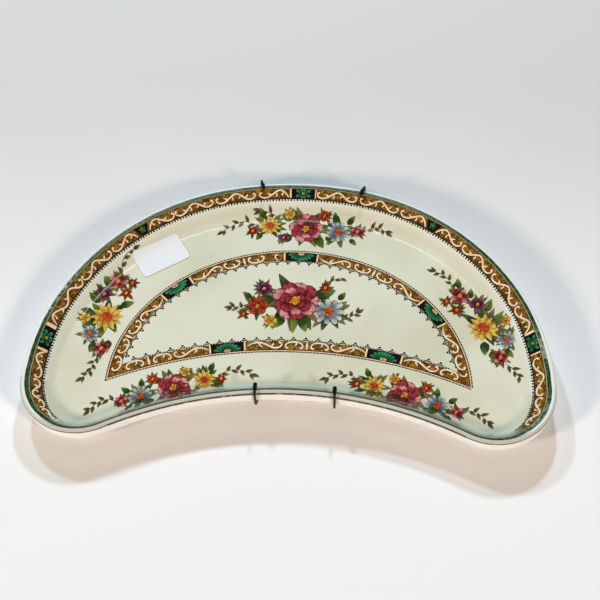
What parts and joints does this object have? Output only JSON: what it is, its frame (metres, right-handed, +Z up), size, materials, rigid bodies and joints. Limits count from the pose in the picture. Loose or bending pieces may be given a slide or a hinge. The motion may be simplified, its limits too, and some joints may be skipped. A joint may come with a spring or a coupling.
{
  "type": "crescent dish in a plate hanger",
  "caption": "Shallow crescent earthenware dish with a printed border, held for wall display by a spring plate hanger with claws over its rim.",
  "frame": {"origin": "middle of the footprint, on the table that the dish lies on", "axes": "+X along the dish, +Y towards the crown side, +Z up out of the dish"},
  "size_m": [0.38, 0.2238, 0.026],
  "materials": {
    "glaze": "glossy cream glaze with a printed and painted border and sprays",
    "paper": "matt white paper",
    "hanger_wire": "tarnished, satin",
    "spring_steel": "dull",
    "tip_sleeve": "satin"
  },
  "bodies": {
    "dish_and_upper_wire": {"dish": "glaze", "paper_label": "paper", "upper_hook_wire": "hanger_wire", "upper_left_tip": "tip_sleeve", "upper_right_tip": "tip_sleeve", "left_spring": "spring_steel", "right_spring": "spring_steel"},
    "lower_wire": {"lower_hook_wire": "hanger_wire", "lower_left_tip": "tip_sleeve", "lower_right_tip": "tip_sleeve"}
  },
  "joints": [
    {"name": "lower_wire_pull", "type": "slide", "parent": "dish_and_upper_wire", "child": "lower_wire", "axis": [0, -1, 0], "range_m": [0, 0.012], "stiffness_N_per_m": 600, "deforming": ["left_spring", "right_spring"]}
  ]
}
